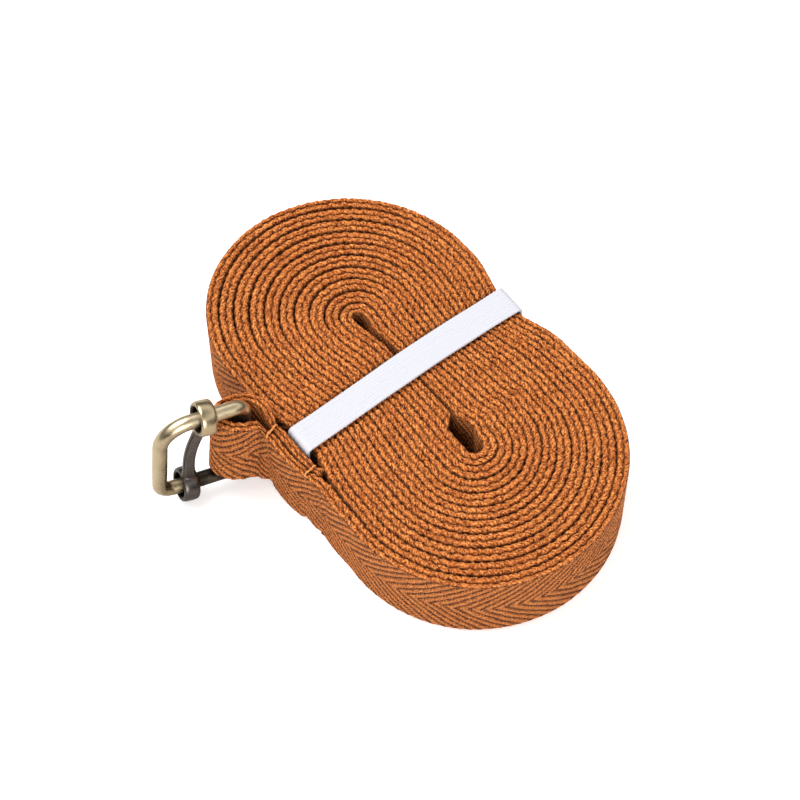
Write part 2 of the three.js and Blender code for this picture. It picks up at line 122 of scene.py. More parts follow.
LOOP_SEAM = dict(x=-6.0, y=-37.4, angle=math.radians(197), legs=2.75, thick=2.4, lift=2.2, crease=0.6)
END_SEAM = dict(x=8.0, y=-35.9, angle=math.radians(188), legs=2.3, thick=2.0, lift=0.0, crease=0.15)
DOUBLED_THICK = 2.4

joints = {j["name"]: j for j in frame["joints"]}
bar_at = joints["frame_pivot"]["pos_m"]
SHIFT = np.array([bar_at[0] / MM - BAR_X, bar_at[1] / MM - BAR_Y, bar_at[2] / MM - RAIL_BASE_Z])

# ---- Weave, in millimetres ----
LEG_STEPS = 160  # points of the centre line in one leg of the coil
STATION = 0.27  # spacing of sections along the webbing
FINE, COARSE = 84, 4  # samples up a face that is seen, and up a hidden one
TURN_GAP = -0.06  # the fluffy edges of neighbouring turns press together where they bulge
CORD_HALF_MOST = 1.9  # the fluffy edges never spread past this half-thickness
SLOT_PRESS = 0.42  # the innermost turn is pressed thinner along its open slot
TAIL_SWELL = 0.5  # the outermost turn swells by this much behind the tail
EDGE_BAND = 0.8  # height of the rounded edge
RIB_RISE = 2.75  # height between herringbone ribs
RIB_SLOPE = 0.9  # rise of a rib over its run
RIB_SQUARE = math.hypot(1, RIB_SLOPE)
RIB_DEPTH = 0.32  # depth of the grooves between ribs
RIB_WAVER = 0.26  # how far the ribs wander from straight
YARN = 0.9  # length of one yarn float along a rib
YARN_DEPTH = 0.14  # depth of the gaps between floats
HIDDEN_DEPTH = 0.12  # hidden faces lie this deep, as a woven one does on average
SCALLOP = 2.4  # length from one dark pocket beside a cord to the next
CORD = 1.25  # length of one strand's bulge along an edge cord
TWIST = 4.6  # how far the strands lean across a cord
CORD_DROP = 1.0  # how deep the grooves beside a cord are
LUMP = 0.13  # height of the strands along a cord
POCKET_DROP = 0.12  # how much lower a cord lies at a dark pocket
POCKET_RETREAT = 0.11  # and how far it draws in sideways there, as a share of its half-thickness


def smooth(t):
    t = np.clip(t, 0, 1)
    return t * t * (3 - 2 * t)


def mix(a, b, t):
    return a + (b - a) * t


def signed_power(x, exponent):
    return np.sign(x) * np.abs(x) ** exponent


def run_along(line):
    """Distance along a line of points, at each point."""
    return np.concatenate([[0], np.cumsum(np.linalg.norm(np.diff(line, axis=0), axis=1))])


def unit(vectors):
    return vectors / np.linalg.norm(vectors, axis=1)[:, None]


def ring_tangent(line):
    """Directions along a closed line of points."""
    return unit(np.roll(line, -1, 0) - np.roll(line, 1, 0))


def wander(s, length, seed):
    """Smooth random curve over s, about one swing per length, between -1 and 1."""
    r = np.random.default_rng(seed)
    count = int(np.max(np.abs(s)) / length) + 4
    knots = r.uniform(-1, 1, count)
    t = np.abs(s) / length
    i = np.minimum(t.astype(int), count - 2)
    return mix(knots[i], knots[i + 1], smooth(t - i))


# ---- The strap's centre line ----
def pinch(x, centre, depth):
    """How far the elastic draws the coil in at x."""
    d = np.minimum(np.abs(x - centre) / WAIST_HALF_LENGTH, 1)
    return depth * np.cos(d * np.pi / 2) ** 2


def lobe_a(turn):
    """Centre of the small lobe for one turn: the lobe shifts outwards as the coil grows."""
    return mix(CORE_A_X, LOBE_A_X, min(1, turn / (TURNS - 1)))


def near_core(x):
    """Reach of the core on its -Y side: the slot narrows away from lobe A, then opens a little."""
    slot = CORE_NEAR_A - 1.95 * smooth((x + 19) / 11) - 0.25 * smooth((x + 4) / 20)
    return slot + 0.3 * smooth((x - 16.5) / 3.5)


def far_core(x):
    """Reach of the core on its +Y side: the slot, and the teardrop hole beyond x = 17."""
    slot = CORE_FAR_A - 0.65 * smooth((x + 19) / 5) + 0.55 * smooth((x + 14) / 9)
    return slot + 1.45 * smooth((x - 17) / 6) - 0.84 * smooth((x - 23) / 3.5)


def coil_leg(turn, leg, t):
    """Centre line and pitch of one leg: 0 and 2 are the straight runs, 1 and 3 the bends."""
    half = math.pi / 2
    lobe = lobe_a(turn)
    if leg == 0:
        x, angle = mix(LOBE_B_X, lobe, t), np.full_like(t, -half)
        full = mix(REACH_B - REACH_B_SKEW, REACH_A, t) - pinch(x, WAIST_NEAR_X, WAIST_PINCH_NEAR)
        core = near_core(x)
    elif leg == 1:
        x, angle = np.full_like(t, lobe), -half - np.pi * t
        full = REACH_A + REACH_A_SKEW * np.sin(2 * angle)
        core = mix(CORE_NEAR_A, CORE_FAR_A, smooth(t))
    elif leg == 2:
        x, angle = mix(lobe, LOBE_B_X, t), np.full_like(t, half)
        full = mix(REACH_A, REACH_B + REACH_B_SKEW, t) - pinch(x, WAIST_FAR_X, WAIST_PINCH_FAR)
        core = far_core(x)
    else:
        x, angle = np.full_like(t, LOBE_B_X), half - np.pi * t
        full = REACH_B + REACH_B_TIP * np.cos(angle) + REACH_B_SKEW * np.sin(angle)
        core = CORE_BEND_B + CORE_TIP_B * np.cos(angle) + CORE_SHIFT_B * np.sin(angle)
    pitch = (full - core) / TURNS
    reach = core + pitch * (turn + (leg + t) / 4)
    return np.stack([x + reach * np.cos(angle), reach * np.sin(angle), np.zeros_like(t), pitch], 1)


def near_t(turn, x):
    """Share of a turn's -Y run at which it passes x."""
    return (LOBE_B_X - x) / (LOBE_B_X - lobe_a(turn))


def coil_line():
    """Centre line and pitch of the whole coil, from the free end to the start of the tail."""
    parts = []
    for turn in range(TURNS + 1):
        for leg in range(4):
            t = np.linspace(0, 1, LEG_STEPS, endpoint=False)
            if turn == 0 and leg == 0:
                t = np.linspace(near_t(0, FREE_END_X), 1, LEG_STEPS, endpoint=False)
            if turn == TURNS:
                if leg > 0:
                    break
                t = np.linspace(0, near_t(TURNS, COIL_END_X), LEG_STEPS // 3, endpoint=False)
            parts.append(coil_leg(turn, leg, t))
    return np.concatenate(parts)


def rail_lift(x, y):
    """Height of the webbing's lower edge where it rests on the buckle's lower rail."""
    outwards = (x - BAR_X) * math.cos(RAIL_ANGLE) + (y - BAR_Y) * math.sin(RAIL_ANGLE)
    return RAIL_BASE_Z + ROD_RADIUS / math.cos(FRAME_PITCH) + LOOP_RISE + outwards * math.tan(FRAME_PITCH)


def loop_point(degrees):
    """Point of the loop round the fixed bar: an oval, with 0 degrees at the seam's end of it."""
    angle = math.radians(degrees)
    along, across = -LOOP_HALF_LONG * math.cos(angle), LOOP_HALF_WIDE * math.sin(angle)
    x = BAR_X + along * math.cos(LOOP_ANGLE) - across * math.sin(LOOP_ANGLE)
    y = BAR_Y + along * math.sin(LOOP_ANGLE) + across * math.cos(LOOP_ANGLE)
    return (x, y, rail_lift(x, y))


def seam_point(seam, side, further=0.0):
    """Centre of one of the two layers at a seam, or further along the layer."""
    offset = side * seam["legs"] / 2
    c, s = math.cos(seam["angle"]), math.sin(seam["angle"])
    return (seam["x"] - offset * s + further * c, seam["y"] + offset * c + further * s, seam["lift"])


def spline(points, steps=40):
    """Centripetal Catmull-Rom curve through the points."""
    p = np.array(points, float)
    p = np.vstack([2 * p[0] - p[1], p, 2 * p[-1] - p[-2]])
    out = []
    for i in range(1, len(p) - 2):
        p0, p1, p2, p3 = p[i - 1:i + 3]
        d0, d1, d2 = (np.linalg.norm(b - a) ** 0.5 for a, b in ((p0, p1), (p1, p2), (p2, p3)))
        m1 = ((p1 - p0) / d0 - (p2 - p0) / (d0 + d1) + (p2 - p1) / d1) * d1
        m2 = ((p2 - p1) / d1 - (p3 - p1) / (d1 + d2) + (p3 - p2) / d2) * d1
        t = np.linspace(0, 1, steps, endpoint=False)[:, None]
        square, cube = 3 * (p2 - p1) - 2 * m1 - m2, 2 * (p1 - p2) + m1 + m2
        out.append(p1 + m1 * t + square * t**2 + cube * t**3)
    out.append(p[-2:-1])
    return np.concatenate(out)


def tail_line():
    """Centre line of the tail: out along the coil, round the loop and back to the end seam."""
    end_y = coil_leg(TURNS, 0, np.array([near_t(TURNS, COIL_END_X)]))[0, 1]
    loop = [loop_point(a) for a in (70, 90, 110, 130, 150, 170, 190, 210, 230, 250, 270, 295)]
    return spline([
        (COIL_END_X - 0.4, end_y - 0.05, 0), (11, end_y - 0.75, 0), seam_point(END_SEAM, 1),
        (3.4, -38.1, 0.2), (-1, -38.45, 0.9), seam_point(LOOP_SEAM, 1, -0.6), seam_point(LOOP_SEAM, 1, 0.6),
        (-8, -41, 4), *loop, (-9.9, -36.5, 3.6), seam_point(LOOP_SEAM, -1), (-1, -35.75, 0.9),
        (3.7, -35.5, 0.2), seam_point(END_SEAM, -1), (10.4, -34.25, 0)])


def soften(values, reach):
    """Moving average over a window of stations, ends kept."""
    kernel = np.hanning(2 * reach + 3)[1:-1]
    kernel /= kernel.sum()
    padded = np.concatenate([np.repeat(values[:1], reach, 0), values, np.repeat(values[-1:], reach, 0)])
    return np.stack([np.convolve(padded[:, k], kernel, "valid") for k in range(values.shape[1])], 1)


class Strap:
    """Stations along the whole webbing, from its free end inside the coil to the folded-back end."""

    def __init__(self):
        coil, tail = coil_line(), tail_line()
        raw = np.concatenate([coil, np.pad(tail, ((0, 0), (0, 1)))])
        run = run_along(raw[:, :2])
        tail_start = run[len(coil)]
        self.length = run[-1]
        self.turn_marks = [run[LEG_STEPS * 4 * k] for k in range(TURNS + 1)]
        self.s = np.linspace(0, self.length, int(self.length / STATION))
        line = np.stack([np.interp(self.s, run, raw[:, k]) for k in range(4)], 1)
        share = np.exp(-(((self.s - tail_start) / 4) ** 2))[:, None]
        self.p = mix(line[:, :3], soften(line[:, :3], 9), share)
        self.pitch = line[:, 3]
        self.in_tail = self.s > tail_start
        self.along = unit(np.gradient(self.p[:, :2], axis=0))
        self.out = np.stack([-self.along[:, 1], self.along[:, 0]], 1)
        self.thicken()
        self.set_edges()
        self.roughen()

    def thicken(self):
        """Half-thickness on the inner and outer side: the fluffy cords fill most of the pitch."""
        x, y = self.p[:, 0], self.p[:, 1]
        full = np.clip(self.pitch / 2 - TURN_GAP / 2, WEB_THICK / 2, CORD_HALF_MOST)
        doubled = smooth((x - LOOP_SEAM["x"] + 3) / 3) * smooth((END_SEAM["x"] + 3 - x) / 2)
        half = np.where(self.in_tail, mix(WEB_THICK, DOUBLED_THICK, doubled) / 2, full)
        self.notch = np.zeros_like(half)
        for seam in (LOOP_SEAM, END_SEAM):
            for side in (1, -1):
                at = seam_point(seam, side)
                away = np.where(self.in_tail, np.hypot(x - at[0], y - at[1]), np.inf)
                drawn = 1 - smooth(away / (2 * SEAM_REACH))
                pulled = mix(WEB_THICK, seam["thick"] - seam["crease"], drawn) / 2
                half = np.where(self.in_tail, np.minimum(half, pulled), half)
                self.notch = np.maximum(self.notch, SEAM_NOTCH * (1 - smooth(away / SEAM_REACH)))
        first, last = self.turn_marks[1], self.turn_marks[TURNS - 1]
        inside = smooth((self.s - first + 30) / 20)
        outside = 1 - smooth((self.s - last + 10) / 20)
        thin = np.minimum(half, WEB_THICK / 2)
        slot = smooth((x + 15.5) / 4) * smooth((3 - x) / 4) * (self.s < 80)
        self.half_in = mix(thin, half, inside) - SLOT_PRESS * slot
        outermost = (y < 0) & (self.s > last) & ~self.in_tail
        behind_tail = smooth((x - 5.3) / 1.2) * smooth((16 - x) / 3) * outermost
        self.half_out = mix(thin, half, outside) + TAIL_SWELL * behind_tail

    def set_edges(self):
        """Lower and upper edge, the pressed track under the elastic and the lean of the loop."""
        x, y = self.p[:, 0], self.p[:, 1]
        band = np.abs(x - elastic_middle(y))
        self.pressed = np.where(self.in_tail, 0, smooth((GROOVE_HALF - band) / 0.9))
        lift = np.maximum(self.p[:, 2], 0) + self.notch
        self.low = lift + GROOVE_BOTTOM * self.pressed
        self.high = np.maximum(self.p[:, 2], 0) + WEB_WIDTH - self.notch - GROOVE_TOP * self.pressed
        share = np.where(self.in_tail, smooth((self.p[:, 2] - LOOP_SEAM["lift"]) / LEAN_RISE), 0)
        lean = -share * WEB_WIDTH * math.tan(FRAME_PITCH)
        self.lean = np.stack([lean * math.cos(RAIL_ANGLE), lean * math.sin(RAIL_ANGLE)], 1)

    def roughen(self):
        """Small unevenness of hand-wound webbing: turns stand a little higher or lower and sway."""
        s = self.s
        loose = np.where(self.in_tail | (self.pressed > 0), 0.3, 1.0)
        self.high = self.high - loose * (0.2 + 0.2 * wander(s, 17, 1) + 0.08 * wander(s, 5, 2))
        self.low = self.low + np.where(self.in_tail, 0.05, 0.1 + 0.1 * wander(s, 14, 3))
        sway = loose * (0.05 * wander(s, 11, 4) + 0.04 * wander(s, 4, 5))
        self.p[:, :2] += self.out * sway[:, None]
        # The free end is cut at a slant, which fades over the first 4 mm.
        slant = np.maximum(0, 1 - self.s / 4)
        self.slant = self.along * (-FREE_END_SLANT * slant)[:, None]


def elastic_middle(y):
    """The band lies a little towards the small lobe, and bows back at its ends."""
    return -0.95 + 0.75 * smooth(np.abs(y - 8) / 42)


def edge_profile(s, v):
    """Shape of a fluffy edge at distances s and places v across it, from -1 to 1.

    Two cords lie side by side, with a groove between them. Gives the drop below the edge line, the share
    of the half-thickness that is left, how deep in a groove each place is, and the height of the strands.
    """
    side = np.where(v > 0, 1.0, -1.0)
    # The groove between the cords wanders from the middle; u is 0 on a cord's crest and -1 or 1 beside it.
    middle = 0.1 * np.sin(2 * np.pi * s / 3.1 + wander(s, 7, 16)) + 0.06 * wander(s, 1.9, 13)
    w = v + middle * (1 - v**2)
    u = np.clip((np.abs(w) - 0.5) / 0.5, -1, 1)
    strand = 2 * np.pi * (s + 0.25 * wander(s, 3, 12)) / CORD
    lump = 0.5 + 0.5 * np.cos(strand + TWIST * u * side + 1.3 * side)
    # Pockets open in turn in the middle groove and beside each cord; there the cord lies lower, draws in, and
    # is painted darker as painted shade.
    wave = 2 * np.pi * (s + 0.9 * wander(s, 5, 11)) / SCALLOP
    pocket = 0.5 + 0.5 * np.sin(wave + 2.0 * w + np.where(np.abs(w) < 0.5, 0.0, 2.4 * side))
    pocket = pocket * (0.7 + 0.3 * wander(s, 3.7, 17))
    cord_drop = CORD_DROP * np.abs(np.where(u > 0, 0.9 * u, u)) ** (3.1 - 1.7 * pocket)
    drop = cord_drop + (LUMP * (1 - lump) + POCKET_DROP * pocket) * (1 - 0.6 * u**2)
    retreat = POCKET_RETREAT * pocket + 0.03 * (1 - lump)
    squeeze = 1 - retreat * smooth((np.abs(v) - 0.35) / 0.4)
    # How deep in a groove a place is, more at a pocket: the material darkens by it, painted shade.
    groove = smooth((np.abs(u) - 0.56) / 0.4) * (0.5 + 0.5 * pocket)
    return drop, squeeze, groove, lump


def hand_woven(s, z):
    """Distance along the webbing as the ribs see it: they waver a little, as in slack weaving."""
    return s + RIB_WAVER * (wander(s + 1.4 * z, 3.1, 51) + wander(1.2 * s - 1.9 * z + 60, 3.7, 52))


def face_relief(s, z):
    """Depth of the herringbone below the crest of its ribs, and how deep in a groove a point is."""
    zeta = np.abs(z - WEB_WIDTH / 2)
    phase = (zeta + RIB_SLOPE * s) / RIB_RISE
    crest = np.abs(np.sin(np.pi * phase))
    groove = (1 - crest) ** 1.5
    along = (s - RIB_SLOPE * zeta) / RIB_SQUARE / YARN + 0.5 * np.floor(phase)
    yarn = np.abs(np.sin(np.pi * along))
    return RIB_DEPTH * groove * (0.6 + 0.6 * yarn) + YARN_DEPTH * (1 - yarn) ** 1.5, groove


def edge_places(count):
    """Places across an edge, from the outer face to the inner one, closer together at the faces."""
    v = np.sin(np.linspace(np.pi / 2, -np.pi / 2, count))
    return signed_power(v, 1.15)


TOP_PLACES, UNDER_PLACES = edge_places(29), edge_places(15)[::-1]


def webbing(name, strap, start, end, outer_rows, inner_rows):
    """Closed mesh of the webbing between two distances along it. Rows: samples up each face."""
    rows = np.nonzero((strap.s >= start) & (strap.s <= end + STATION))[0]
    s = strap.s[rows][:, None]
    low, high = strap.low[rows][:, None], strap.high[rows][:, None]
    blocks = []

    def face(count, side):
        half = (strap.half_out if side > 0 else strap.half_in)[rows][:, None]
        share = (np.arange(count) + 0.5) / count
        share = share if side > 0 else share[::-1]
        z = low + EDGE_BAND + (high - low - 2 * EDGE_BAND) * share[None, :]
        flat = (z - low) / (high - low) * WEB_WIDTH
        if count < FINE:
            relief, groove = np.full_like(z, HIDDEN_DEPTH), np.full_like(z, 0.4)
        else:
            relief, groove = face_relief(hand_woven(s, flat), flat)
        inner = smooth((np.minimum(z - low, high - z) - EDGE_BAND) / 0.8)
        blocks.append((side * (1 - relief * inner / half), z, groove * inner, np.zeros_like(z), flat, z * 0))

    def edge(top):
        v = (TOP_PLACES if top else UNDER_PLACES)[None, :]
        drop, squeeze, groove, lump = edge_profile(s + (0 if top else 0.9), v)
        z = high - drop if top else low + drop
        flat = np.full_like(z, WEB_WIDTH if top else 0.0)
        blocks.append((v * squeeze, z, groove, np.ones_like(z), flat, lump))

    face(outer_rows, 1)
    edge(True)
    face(inner_rows, -1)
    edge(False)
    v, z, cavity, is_edge, flat, lump = (np.concatenate([b[k] for b in blocks], 1) for k in range(6))
    half = np.where(v > 0, strap.half_out[rows][:, None], strap.half_in[rows][:, None])
    up = (z - low) / (high - low)
    xy = strap.p[rows][:, None, :2] + strap.out[rows][:, None, :] * (v * half)[..., None]
    xy = xy + strap.lean[rows][:, None, :] * up[..., None] + strap.slant[rows][:, None, :] * v[..., None]
    obj = grid_mesh(name, np.concatenate([xy, z[..., None]], 2))
    put(obj, strap_s=hand_woven(s, flat), strap_z=flat, strap_v=v, cavity=cavity, is_edge=is_edge, lump=lump)
    return obj


# ---- Mesh helpers ----
def put(obj, **values):
    """Stores values for the materials, one for each vertex."""
    for name, value in values.items():
        attribute = obj.data.attributes.new(name, "FLOAT", "POINT")
        attribute.data.foreach_set("value", np.ascontiguousarray(value, np.float32).ravel())


def grid_mesh(name, points, rows_close=False):
    """Mesh over rows of closed rings, in layout millimetres: a tube with caps, or a closed band."""
    rows, n = points.shape[:2]
    i = np.arange(rows if rows_close else rows - 1)
    k = np.arange(n)
    a = (i[:, None] * n + k[None, :]).ravel()
    b = (i[:, None] * n + ((k + 1) % n)[None, :]).ravel()
    quads = np.stack([a, b, (b + n) % (rows * n), (a + n) % (rows * n)], 1)
    loops = [quads.ravel()]
    starts = np.arange(len(quads)) * 4
    totals = np.full(len(quads), 4)
    if not rows_close:
        loops += [k[::-1], (rows - 1) * n + k]
        starts = np.concatenate([starts, [len(quads) * 4, len(quads) * 4 + n]])
        totals = np.concatenate([totals, [n, n]])
    loops = np.concatenate(loops)
    mesh = bpy.data.meshes.new(name)
    mesh.vertices.add(rows * n)
    mesh.vertices.foreach_set("co", ((points + SHIFT) * MM).astype(np.float32).ravel())
    mesh.loops.add(len(loops))
    mesh.loops.foreach_set("vertex_index", loops.astype(np.int32))
    mesh.polygons.add(len(starts))
    mesh.polygons.foreach_set("loop_start", starts.astype(np.int32))
    mesh.polygons.foreach_set("loop_total", totals.astype(np.int32))
    mesh.update(calc_edges=True)
    mesh.validate()
    mesh.polygons.foreach_set("use_smooth", np.ones(len(mesh.polygons), bool))
    if signed_volume(mesh) < 0:
        mesh.flip_normals()
    obj = bpy.data.objects.new(name, mesh)
    bpy.context.scene.collection.objects.link(obj)
    return obj


def signed_volume(mesh):
    mesh.calc_loop_triangles()
    tri = np.zeros(len(mesh.loop_triangles) * 3, np.int32)
    mesh.loop_triangles.foreach_get("vertices", tri)
    co = np.zeros(len(mesh.vertices) * 3, np.float32)
    mesh.vertices.foreach_get("co", co)
    t = co.reshape(-1, 3)[tri.reshape(-1, 3)].astype(float)
    return np.einsum("ij,ij->i", t[:, 0], np.cross(t[:, 1], t[:, 2])).sum()


def thread_mesh(name, centre, a, b, radius, turn, rows_close=False):
    """Round thread along a centre line; a and b are its cross directions at each row."""
    u, v = radius * np.cos(turn), radius * np.sin(turn)
    points = centre[:, None, :] + u[..., None] * a[:, None, :] + v[..., None] * b[:, None, :]
    return grid_mesh(name, points, rows_close)


def finish_piece(obj, material, node=None, body=None):
    """Gives a piece its finish, the CAD node that it stands for and the body that it rides on."""
    obj.data.materials.clear()
    obj.data.materials.append(material)
    if node:
        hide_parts(node)
    if body:
        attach(obj, body)


# ---- Node helpers ----
class Nodes:
    """Short way to write a material's node tree."""

    def __init__(self, name):
        self.material = bpy.data.materials.new(name)
        self.material.use_nodes = True
        self.tree = self.material.node_tree
        self.tree.nodes.clear()
        self.output = self.add("ShaderNodeOutputMaterial")
        self.bsdf = self.add("ShaderNodeBsdfPrincipled")
        self.link(self.bsdf.outputs[0], self.output.inputs[0])

    def add(self, kind, **settings):
        node = self.tree.nodes.new(kind)
        for key, value in settings.items():
            setattr(node, key, value)
        return node

    def link(self, a, b):
        self.tree.links.new(a, b)

    def feed(self, socket, value):
        if isinstance(value, (int, float, tuple)):
            socket.default_value = value
        else:
            self.link(value, socket)

    def math(self, operation, a, b=0.0, clamp=False):
        node = self.add("ShaderNodeMath", operation=operation, use_clamp=clamp)
        self.feed(node.inputs[0], a)
        self.feed(node.inputs[1], b)
        return node.outputs[0]

    def plus(self, a, b, clamp=False):
        return self.math("ADD", a, b, clamp)

    def minus(self, a, b):
        return self.math("SUBTRACT", a, b)

    def times(self, a, b, clamp=False):
        return self.math("MULTIPLY", a, b, clamp)

    def rest(self, share):
        """What is left of one."""
        return self.minus(1.0, share)

    def ridge(self, value, pace):
        """Even bumps between 0 and 1: the size of the sine."""
        return self.math("ABSOLUTE", self.math("SINE", self.times(value, pace)))

    def attribute(self, name):
        return self.add("ShaderNodeAttribute", attribute_name=name).outputs["Fac"]

    def noise(self, vector, scale, detail=3.0, rough=0.55):
        node = self.add("ShaderNodeTexNoise")
        self.feed(node.inputs["Vector"], vector)
        node.inputs["Scale"].default_value = scale
        node.inputs["Detail"].default_value = detail
        node.inputs["Roughness"].default_value = rough
        return node.outputs["Fac"]

    def combine(self, x, y, z):
        node = self.add("ShaderNodeCombineXYZ")
        for socket, value in zip(node.inputs, (x, y, z)):
            self.feed(socket, value)
        return node.outputs[0]

    def mix(self, share, a, b, kind="MIX"):
        node = self.add("ShaderNodeMix", data_type="RGBA", blend_type=kind)
        self.feed(node.inputs[0], share)
        self.feed(node.inputs[6], a)
        self.feed(node.inputs[7], b)
        return node.outputs[2]

    def span(self, value, low, high, to_low=0.0, to_high=1.0):
        node = self.add("ShaderNodeMapRange", clamp=True)
        self.feed(node.inputs[0], value)
        for k, x in enumerate((low, high, to_low, to_high)):
            node.inputs[k + 1].default_value = x
        return node.outputs[0]

    def bump(self, height, strength, distance, normal=None):
        node = self.add("ShaderNodeBump")
        node.inputs["Strength"].default_value = strength
        node.inputs["Distance"].default_value = distance
        self.feed(node.inputs["Height"], height)
        if normal is not None:
            self.link(normal, node.inputs["Normal"])
        return node.outputs[0]

    def shade(self, **values):
        for key, value in values.items():
            self.feed(self.bsdf.inputs[key.replace("_", " ")], value)


def srgb(r, g, b):
    """Linear colour with alpha, from 8-bit sRGB."""
    share = (c / 255 for c in (r, g, b))
    return tuple(c / 12.92 if c <= 0.04045 else ((c + 0.055) / 1.055) ** 2.4 for c in share) + (1.0,)


# ---- Materials ----
COTTON_SHADE, COTTON_LIGHT, COTTON_PATCH = srgb(176, 84, 32), srgb(243, 160, 86), srgb(192, 98, 38)
COTTON_FACE = srgb(176, 104, 54)  # the flat faces are duller than the fluffy edges
# Painted shade: the colours that the grooves between ribs, the gaps between yarns and the holes and grooves
# of the edge cords are darkened to.
FACE_GROOVE_SHADE, EDGE_GROOVE_SHADE = srgb(56, 25, 9), srgb(44, 15, 4)
COTTON_SHEEN = srgb(255, 176, 104)
# Each set: rubbed, plain, and the dark of hollows, which is patina and painted shade. The second set is a
# darker shaded copy of the brass, for painted shade and dark reflection.
BRASS = (srgb(232, 216, 184), srgb(184, 162, 122), srgb(50, 39, 27))  # rubbed, plain and sheltered
SHADED_BRASS = (srgb(134, 127, 120), srgb(78, 72, 69), srgb(18, 15, 14))


def webbing_material():
    """Copper cotton: herringbone ribs on the faces, twisted cords along the edges."""
    n = Nodes("copper_webbing")
    s, z, v = n.attribute("strap_s"), n.attribute("strap_z"), n.attribute("strap_v")
    cavity, is_edge, lump = n.attribute("cavity"), n.attribute("is_edge"), n.attribute("lump")
    zeta = n.math("ABSOLUTE", n.minus(z, WEB_WIDTH / 2))
    phase = n.math("DIVIDE", n.plus(zeta, n.times(s, RIB_SLOPE)), RIB_RISE)
    crest = n.ridge(phase, math.pi)
    groove = n.math("POWER", n.rest(crest), 1.55)
    along = n.math("DIVIDE", n.minus(s, n.times(zeta, RIB_SLOPE)), RIB_SQUARE * YARN)
    along = n.plus(along, n.times(n.math("FLOOR", phase), 0.5))
    yarn = n.ridge(along, math.pi)
    gap = n.math("POWER", n.rest(yarn), 1.5)
    across = n.times(v, 1.8)
    place = n.combine(s, z, across)
    # Fibres run with the strands: leaning along the edge cords and along the yarns of the faces.
    lean_u = n.plus(n.times(s, 0.7), n.times(across, -0.55))
    lean_v = n.plus(n.times(s, 0.95), n.times(across, 1.3))
    fibres = n.combine(lean_u, lean_v, z)
    fuzz = n.noise(fibres, 1.75, 2.0, 0.65)
    grit = n.noise(place, 2.9, 1.0, 0.5)
    thread = n.noise(place, 1.1, 3.0)
    broad = n.noise(place, 0.07, 2.0)
    # Painted shade in the grooves between the ribs and the gaps between the yarns.
    face_groove_shade = n.times(groove, n.span(yarn, 0.15, 0.75, 0.4, 2.5), clamp=True)
    face_groove_shade = n.times(face_groove_shade, n.span(thread, 0.35, 0.6, 1.0, 0.75))
    face_groove_shade = n.math("MAXIMUM", face_groove_shade, n.times(gap, 0.45))
    # Along an edge the strands show as small bulges, and the hole between each pair is painted dark: painted
    # shade. The edge's grooves are painted dark by the cavity attribute in the same way.
    hole = n.times(n.span(lump, 0.0, 0.3, 1.0, 0.0), n.span(thread, 0.35, 0.6, 0.35, 1.0))
    edge_groove_shade = n.math("MAXIMUM", cavity, n.times(hole, 0.5))
    dark = n.plus(n.times(face_groove_shade, n.rest(is_edge)), n.times(edge_groove_shade, is_edge))
    dark = n.plus(dark, n.span(fuzz, 0.31, 0.46, 0.5, 0.0), clamp=True)
    dark = n.plus(dark, n.span(grit, 0.3, 0.46, 0.45, 0.0), clamp=True)
    light = n.plus(n.times(fuzz, 0.55), n.times(grit, 0.45))
    cotton = n.mix(n.span(light, 0.42, 0.64), COTTON_SHADE, COTTON_LIGHT)
    cotton = n.mix(n.span(broad, 0.35, 0.7, 0.0, 0.3), cotton, COTTON_PATCH)
    cotton = n.mix(n.times(n.rest(is_edge), 0.3), cotton, COTTON_FACE)
    # Darkens towards the groove colours: painted shade, with some random fibre tone.
    cotton = n.mix(dark, cotton, n.mix(is_edge, FACE_GROOVE_SHADE, EDGE_GROOVE_SHADE))
    n.shade(Base_Color=cotton, Roughness=n.span(fuzz, 0.3, 0.7, 0.8, 0.95))
    n.shade(Sheen_Weight=0.1, Sheen_Roughness=0.4, Sheen_Tint=COTTON_SHEEN, Specular_IOR_Level=0.2)
    height = n.minus(n.times(n.plus(fuzz, grit), 0.5), dark)
    n.shade(Normal=n.bump(height, 0.9, 0.0003))
    return n.material


def thread_material():
    """Two-ply cotton thread, painted darker where it sinks into the webbing's face and in the grooves between
    its plies: painted shade.
    """
    n = Nodes("copper_thread")
    where = n.add("ShaderNodeTexCoord").outputs["Object"]
    ply = n.attribute("ply")
    groove = n.math("POWER", n.rest(n.ridge(ply, 1.0)), 2.0)
    fuzz = n.noise(where, 4000, 3.0)
    colour = n.mix(n.span(fuzz, 0.3, 0.7), srgb(196, 112, 54), srgb(238, 168, 104))
    # Painted shade: darker where the thread sinks into the face, and in the grooves between its plies.
    colour = n.mix(n.times(n.attribute("in_face"), 0.8), colour, srgb(150, 74, 28))
    colour = n.mix(n.times(groove, 0.6), colour, srgb(110, 52, 20))
    n.shade(Base_Color=colour, Roughness=n.span(fuzz, 0.3, 0.7, 0.6, 0.8), Specular_IOR_Level=0.2)
    n.shade(Sheen_Weight=0.1, Sheen_Tint=COTTON_SHEEN)
    n.shade(Normal=n.bump(n.minus(fuzz, groove), 0.5, 0.0001))
    return n.material


def elastic_material():
    """White ribbed elastic, with fine warp and weft threads."""
    n = Nodes("white_elastic")
    s, v = n.attribute("strap_s"), n.attribute("strap_v")
    warp = n.ridge(v, math.pi / 0.8)
    weft = n.ridge(s, math.pi / 0.5)
    knit = n.plus(n.times(warp, 0.85), n.times(weft, 0.15))
    fuzz = n.noise(n.combine(s, v, 0.0), 2.5, 4.0)
    colour = n.mix(n.span(knit, 0.15, 0.8), srgb(186, 187, 196), srgb(197, 197, 203))
    colour = n.mix(n.span(fuzz, 0.35, 0.65, 0.0, 0.3), colour, srgb(184, 184, 193))
    n.shade(Base_Color=colour, Roughness=n.span(fuzz, 0.3, 0.7, 0.55, 0.75), Sheen_Weight=0.2)
    n.shade(Normal=n.bump(n.plus(knit, n.times(fuzz, 0.3)), 0.3, 0.0001))
    return n.material


